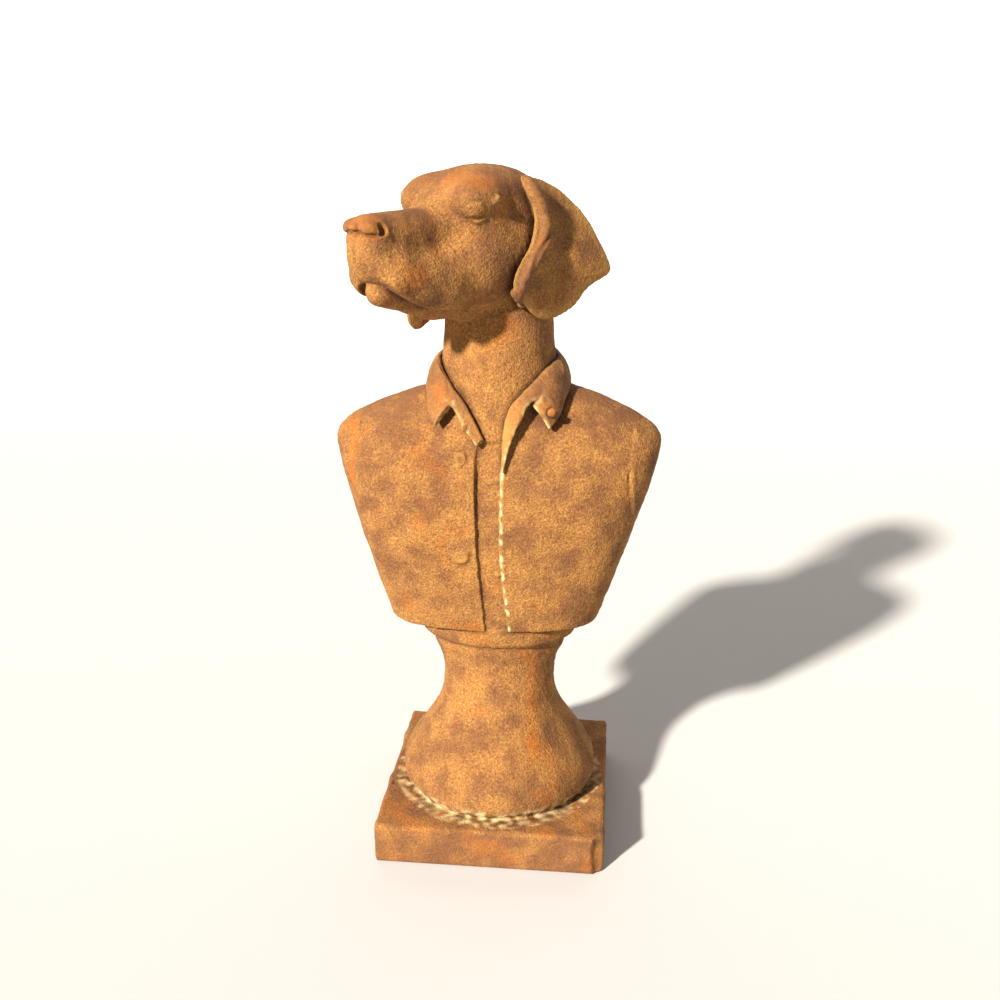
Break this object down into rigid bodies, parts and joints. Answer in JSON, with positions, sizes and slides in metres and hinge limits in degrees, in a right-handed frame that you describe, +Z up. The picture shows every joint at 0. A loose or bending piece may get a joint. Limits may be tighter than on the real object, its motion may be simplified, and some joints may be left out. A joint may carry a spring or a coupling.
{
  "type": "dog bust statue",
  "caption": "Rusted cast iron garden bust of a drop-eared hound in an open-necked buttoned shirt, head turned aside, on a waisted round socle and square plinth.",
  "frame": {"origin": "centre of the square plinth's underside, on the surface that the statue stands on", "axes": "+Z up, -Y the way the shirt front faces, +X to the viewer's right when facing the shirt front; the head looks towards -X and -Y"},
  "size_m": [0.2732, 0.2245, 0.5866],
  "materials": {
    "iron": "rusted, rough sand-cast skin, brown to orange ochre with dark pits"
  },
  "bodies": {
    "root": {"dog_bust": "iron"}
  },
  "joints": []
}
